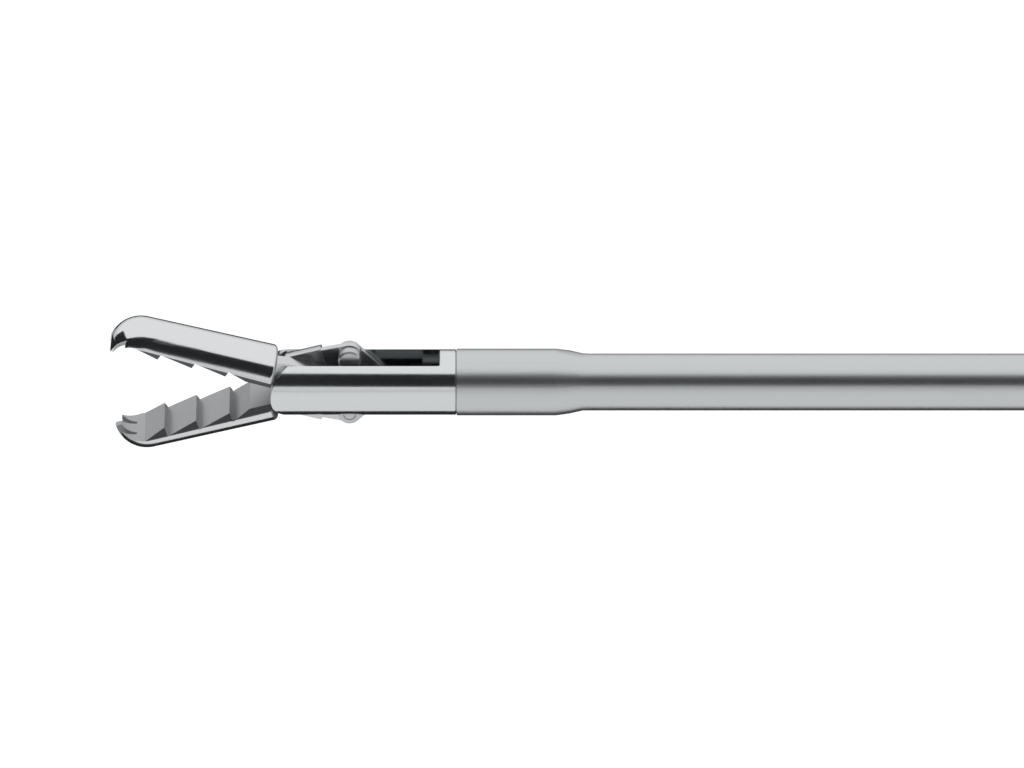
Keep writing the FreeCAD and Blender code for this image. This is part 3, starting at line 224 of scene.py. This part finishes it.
def jaw_outside():
    """Where a jaw is polished, and where its teeth get painted shade. Outside is 1 on its turned surface, 0 on
    teeth and scoop, and between them on the flat tail. The flank output is 1 on the long sides of the teeth,
    where their colour is darkened as painted shade. Jaw place is in millimetres from the pivot."""
    tree, given, result = group(
        "jaw outside",
        [("Jaw place", "Vector", None), ("Tip", "Float", LOWER_TIP)],
        [("Outside", "Float"), ("Flank shade", "Float")])
    parts = add(tree, "ShaderNodeSeparateXYZ")
    join(tree, given["Jaw place"], parts.inputs[0])
    x, y, z = parts.outputs
    reach = calculate(tree, "MULTIPLY", x, -1.0)
    nose_start = calculate(tree, "SUBTRACT", given["Tip"], NOSE_LENGTH)
    before = calculate(tree, "MAXIMUM", calculate(tree, "SUBTRACT", nose_start, reach), 0.0)

    across = calculate(tree, "ADD", calculate(tree, "MULTIPLY", y, y), calculate(tree, "MULTIPLY", z, z))
    radius = calculate(tree, "SQRT", across)
    outer = jaw_radius(tree, reach, before, nose_start)
    skin = fade(tree, calculate(tree, "SUBTRACT", outer, radius), *SKIN_FADE)
    behind = fade(tree, reach, *ROOT_FADE)
    front = calculate(tree, "SUBTRACT", 1.0, behind)
    turned = calculate(tree, "MULTIPLY", skin, front)
    tail = calculate(tree, "MULTIPLY", behind, TAIL_SHINE)
    join(tree, calculate(tree, "ADD", turned, tail), result["Outside"])

    widening = (TOOTH_WIDTH_ROOT - TOOTH_WIDTH_TIP) / 2 / (LOWER_TIP - NOSE_LENGTH - JAW_REAR)
    half = calculate(tree, "ADD", calculate(tree, "MULTIPLY", before, widening), TOOTH_WIDTH_TIP / 2)
    edge = calculate(tree, "SUBTRACT", half, calculate(tree, "MULTIPLY", z, TOOTH_LEAN))
    side = calculate(tree, "SUBTRACT", calculate(tree, "ABSOLUTE", y), edge)
    # Mask for the painted shade on the teeth's long sides
    flank_shade_mask = fade(tree, side, *FLANK_SHADE_FADE)
    join(tree, calculate(tree, "MULTIPLY", flank_shade_mask, front), result["Flank shade"])
    return tree


GRAIN = ground_grain()
JAW_OUTSIDE = jaw_outside()


# Materials

def material(name, **values):
    """A material with its output and one Principled shader, and the place for more nodes."""
    made = bpy.data.materials.new(name)
    made.use_nodes = True
    tree = made.node_tree
    tree.nodes.clear()
    shader = fill(add(tree, "ShaderNodeBsdfPrincipled"), **values)
    end = add(tree, "ShaderNodeOutputMaterial")
    join(tree, shader.outputs[0], end.inputs["Surface"])
    return made, tree, shader


def rounded_edges(tree, radius):
    """Edges that catch the light as if broken by this radius in millimetres."""
    edges = fill(add(tree, "ShaderNodeBevel", samples=EDGE_SAMPLES), Radius=radius * MM)
    return edges.outputs["Normal"]


def grained(tree, colour, roughness, lines, depth, tone, gloss, normal):
    """Colour, roughness and normal of a surface with grain. lines are how dense along X and across it."""
    grain = add(tree, "ShaderNodeGroup", node_tree=GRAIN)
    fill(grain, Colour=(*colour, 1), Roughness=roughness, Lines_along=lines[0], Lines_across=lines[1],
         Depth=depth, Tone_change=tone, Gloss_change=gloss)
    join(tree, normal, grain.inputs["Normal"])
    return grain.outputs


def cover(tree, surface, shader):
    """Join a surface's colour, roughness and normal to the shader."""
    for label, target in (("Colour", "Base Color"), ("Roughness", "Roughness"), ("Normal", "Normal")):
        join(tree, surface[label], shader.inputs[target])


def steel(name, colour, roughness, lines, depth=0.1, tone=0.08, gloss=0.05, edge=BROKEN_EDGE):
    """Bare metal with its own grain."""
    made, tree, shader = material(name, Metallic=1.0)
    normal = rounded_edges(tree, edge)
    cover(tree, grained(tree, colour, roughness, lines, depth, tone, gloss, normal), shader)
    return made


def plastic(name, colour, roughness):
    """Moulded plastic or rubber with a fine grain."""
    made, tree, shader = material(name)
    normal = rounded_edges(tree, PLASTIC_EDGE)
    cover(tree, grained(tree, colour, roughness, (1.5, 1.5), 0.2, 0.1, 0.08, normal), shader)
    return made


def jaw_place(tree, upper):
    """Each point's place on its own jaw, in millimetres from the pivot, with the jaw turned level."""
    place = add(tree, "ShaderNodeTexCoord")
    opening = math.radians(OPEN_ANGLE)
    own = add(tree, "ShaderNodeMapping")
    fill(own, Location=Matrix.Rotation(opening, 3, "Y") @ Vector((-PIVOT_X, 0, 0)),
         Rotation=(math.pi if upper else 0.0, opening, 0.0), Scale=(1 / MM, 1 / MM, 1 / MM))
    join(tree, place.outputs["Object"], own.inputs["Vector"])
    return own.outputs[0]


def jaw_steel(name, tip, upper):
    """Polished outside, matt on teeth and scoop, ground on the flat root, with painted shade darkening the
    teeth's long sides.
    """
    made, tree, shader = material(name, Metallic=1.0)
    where = fill(add(tree, "ShaderNodeGroup", node_tree=JAW_OUTSIDE), Tip=tip)
    join(tree, jaw_place(tree, upper), where.inputs["Jaw place"])
    edges = rounded_edges(tree, BROKEN_EDGE)
    shine = grained(tree, (0.76, 0.775, 0.785), 0.13, (0.6, 3.0), 0.03, 0.03, 0.05, edges)
    matt = grained(tree, (0.46, 0.47, 0.48), 0.45, (3.0, 3.0), 0.5, 0.12, 0.1, edges)
    # The teeth's colour, darkened on their long sides as painted shade
    shaded_teeth = {"Colour": mixed(tree, "RGBA", where.outputs["Flank shade"], matt["Colour"], FLANK_PAINTED_SHADE, "MULTIPLY"),
               "Roughness": matt["Roughness"],
               "Normal": matt["Normal"]}
    kinds = {"Colour": "RGBA", "Roughness": "FLOAT", "Normal": "VECTOR"}
    outside = where.outputs["Outside"]
    cover(tree, {label: mixed(tree, kind, outside, shaded_teeth[label], shine[label])
                 for label, kind in kinds.items()}, shader)
    return made


def wear(node, finish):
    """Give a CAD node a finish through its object's own material slots."""
    for slot in frame["nodes"][node].material_slots:
        slot.link = "OBJECT"
        slot.material = finish


def dress():
    """The finish of each piece."""
    polished = steel("polished steel", (0.74, 0.765, 0.775), 0.155, (0.6, 3.0), 0.02, 0.03, edge=CRISP_EDGE)
    tube = steel("satin tube", (0.63, 0.65, 0.66), 0.32, (0.04, 6.0), 0.25, 0.1, 0.04)
    link = steel("ground links", (0.58, 0.595, 0.605), 0.34, (1.0, 6.0), 0.2, 0.1, edge=LINK_EDGE)
    # Painted shade: the rod, its ball end and lock nut are coloured near black for the shade inside the shaft
    # and head; the drawn grain is their own
    rod = steel("drawn rod with painted shade", (0.12, 0.125, 0.13), 0.3, (0.1, 6.0), 0.2, 0.1)
    screw = steel("turned screws", (0.6, 0.61, 0.62), 0.22, (2.0, 2.0))
    spring = steel("spring wire", (0.5, 0.51, 0.52), 0.25, (2.0, 2.0))
    blasted = steel("blasted handle", (0.6, 0.615, 0.625), 0.33, (5.0, 5.0), 0.5, gloss=0.06, edge=HANDLE_EDGE)
    ratchet = steel("ground ratchet", (0.62, 0.635, 0.645), 0.24, (1.0, 5.0), 0.2)
    black = plastic("black wheel", (0.03, 0.032, 0.035), 0.42)
    white = plastic("white bushes", (0.8, 0.8, 0.78), 0.45)
    rubber = plastic("seal rubber", (0.045, 0.045, 0.05), 0.6)
    lower = jaw_steel("lower jaw steel", LOWER_TIP, False)
    upper = jaw_steel("upper jaw steel", UPPER_TIP, True)
    finishes = {
        polished: ("jaw_head", "jaw_pivot_pin"),
        tube: ("outer_tube", "shaft_hub", "flush_port"),
        link: ("lower_jaw_link", "upper_jaw_link", "lower_jaw_link_pin", "upper_jaw_link_pin",
               "rod_tongue_pin"),
        rod: ("push_rod", "rod_ball_end", "rod_lock_nut"),
        screw: ("wheel_set_screw", "hub_retaining_clip", "lever_pivot_screw", "lever_pivot_nut", "pawl_pin",
                "ratchet_rivets"),
        spring: ("detent_spring", "detent_ball", "pawl_spring"),
        blasted: ("fixed_handle", "thumb_lever"),
        ratchet: ("ratchet_bar", "ratchet_pawl"),
        black: ("rotation_wheel",),
        white: ("rod_guide_bushes", "hub_bearing_bush"),
        rubber: ("rod_seal",),
        lower: ("lower_jaw",),
        upper: ("upper_jaw",),
    }
    for finish, nodes in finishes.items():
        for node in nodes:
            wear(node, finish)


# Studio

def sheet(name, width, depth, middle, turn, finish, about="X"):
    """A flat rectangle as part of the studio, turned from lying flat by these degrees about an axis."""
    mesh = bpy.data.meshes.new(name)
    made = bmesh.new()
    bmesh.ops.create_grid(made, x_segments=1, y_segments=1, size=0.5)
    bmesh.ops.scale(made, vec=(width, depth, 1), verts=made.verts)
    bmesh.ops.rotate(made, matrix=Matrix.Rotation(math.radians(turn), 3, about), verts=made.verts)
    bmesh.ops.translate(made, vec=middle, verts=made.verts)
    made.to_mesh(mesh)
    made.free()
    mesh.materials.append(finish)
    thing = bpy.data.objects.new(name, mesh)
    bpy.context.scene.collection.objects.link(thing)
    return thing


def glow_when_seen(tree, direct, mirrored):
    """A brightness for rays from the camera, another for reflections, and 0 for the rays that carry light."""
    rays = add(tree, "ShaderNodeLightPath")
    straight = calculate(tree, "MAXIMUM", rays.outputs["Is Camera Ray"], rays.outputs["Is Transmission Ray"])
    return calculate(tree, "ADD", calculate(tree, "MULTIPLY", straight, direct),
                     calculate(tree, "MULTIPLY", rays.outputs["Is Glossy Ray"], mirrored))


def floor():
    finish, tree, shader = material(
        "pale floor", Base_Color=FLOOR_GREY, Roughness=FLOOR_ROUGHNESS, Specular_IOR_Level=0.0,
        Emission_Color=(1, 1, 1, 1))
    join(tree, glow_when_seen(tree, FLOOR_GLOW, FLOOR_MIRRORED), shader.inputs["Emission Strength"])
    sheet("floor", FLOOR_SIZE, FLOOR_SIZE, (0, 0, FLOOR_Z * MM), 0, finish)


def dark_card(name, width, depth, middle, turn=0.0, about="X"):
    """A black card that only reflections show, for the dark bands in polished metal."""
    finish, _, _ = material(name, Base_Color=CARD_BLACK, Roughness=1.0, Specular_IOR_Level=0.0)
    card = sheet(name, width, depth, middle, turn, finish, about)
    card.visible_camera = False
    card.visible_diffuse = False
    card.visible_shadow = False
    card.visible_transmission = False


def towards(elevation, distance):
    """A point on the camera's side at this elevation, seen from the object."""
    angle = math.radians(elevation)
    return Vector((0, -math.cos(angle), math.sin(angle))) * distance


def dark_cards():
    """What the polished steel mirrors as black: round the camera, behind the object and past the jaws."""
    low = (FLOOR_Z + CARD_LIFT) * MM
    facing = towards(CARD_ELEVATION, CARD_DISTANCE)
    dark_card("card round the camera", 3.6, 1.06, facing, 90.0 - CARD_ELEVATION)
    dark_card("floor card under the shaft", 0.65, 0.22, (-0.075, 0.11, low))
    dark_card("floor card behind", 1.3, 1.4, (-0.4, 0.92, low))
    dark_card("floor card past the jaws", 1.6, 1.0, (-1.15, -0.1, low))
    dark_card("card past the jaws", 1.3, 2.2, (-1.6, -0.4, 0.57), 90.0, "Y")


def soft_box():
    """The lamp overhead, left out of reflections."""
    light = bpy.data.lights.new("overhead soft box", "AREA")
    light.shape = "RECTANGLE"
    light.size = BOX_WIDTH
    light.size_y = BOX_DEPTH
    light.energy = BOX_LIGHT * math.pi * light.size * light.size_y
    lamp = bpy.data.objects.new("overhead soft box", light)
    lamp.matrix_world = Matrix.Translation(BOX_MIDDLE)
    lamp.visible_glossy = False
    bpy.context.scene.collection.objects.link(lamp)


def world():
    """White to the camera, an even light on the object, and in reflections brighter above the horizon."""
    made = bpy.data.worlds.new("studio")
    made.use_nodes = True
    tree = made.node_tree
    tree.nodes.clear()
    rays = add(tree, "ShaderNodeLightPath")
    camera_light = calculate(tree, "MULTIPLY", rays.outputs["Is Camera Ray"], 1.0 - AMBIENT)
    place = add(tree, "ShaderNodeTexCoord")
    parts = add(tree, "ShaderNodeSeparateXYZ")
    join(tree, place.outputs["Generated"], parts.inputs[0])
    side = add(tree, "ShaderNodeMapRange", clamp=True)
    fill(side, From_Min=0.0, From_Max=HORIZON_RISE, To_Min=HORIZON_LIGHT - AMBIENT,
         To_Max=SIDE_LIGHT - AMBIENT)
    join(tree, parts.outputs["Z"], side.inputs["Value"])
    glossy = calculate(tree, "MULTIPLY", rays.outputs["Is Glossy Ray"], side.outputs["Result"])
    strength = calculate(tree, "ADD", calculate(tree, "ADD", camera_light, glossy), AMBIENT)
    back = fill(add(tree, "ShaderNodeBackground"), Color=(1, 1, 1, 1))
    end = add(tree, "ShaderNodeOutputWorld")
    join(tree, strength, back.inputs["Strength"])
    join(tree, back.outputs[0], end.inputs["Surface"])
    bpy.context.scene.world = made


def camera():
    """The photograph's view: level along the shaft, from above, with a long lens."""
    lens = bpy.data.cameras.new("photo camera")
    lens.sensor_width = SENSOR
    lens.lens = SENSOR * CAMERA_DISTANCE / (PHOTO_WIDTH * MM)
    lens.clip_start = NEAR_LIMIT
    lens.clip_end = FAR_LIMIT
    eye = bpy.data.objects.new("photo camera", lens)
    angle = math.radians(VIEW_ELEVATION)
    picture_up = Vector((0, math.sin(angle), math.cos(angle)))
    aim = Vector((AIM_X * MM, 0, 0)) - picture_up * AIM_DOWN * MM
    stand = aim + towards(VIEW_ELEVATION, CAMERA_DISTANCE)
    facing = (aim - stand).to_track_quat("-Z", "Y").to_matrix().to_4x4()
    eye.matrix_world = Matrix.Translation(stand) @ facing
    bpy.context.scene.collection.objects.link(eye)
    bpy.context.scene.camera = eye


dress()
floor()
dark_cards()
soft_box()
world()
camera()
bpy.context.scene.view_settings.view_transform = "Standard"
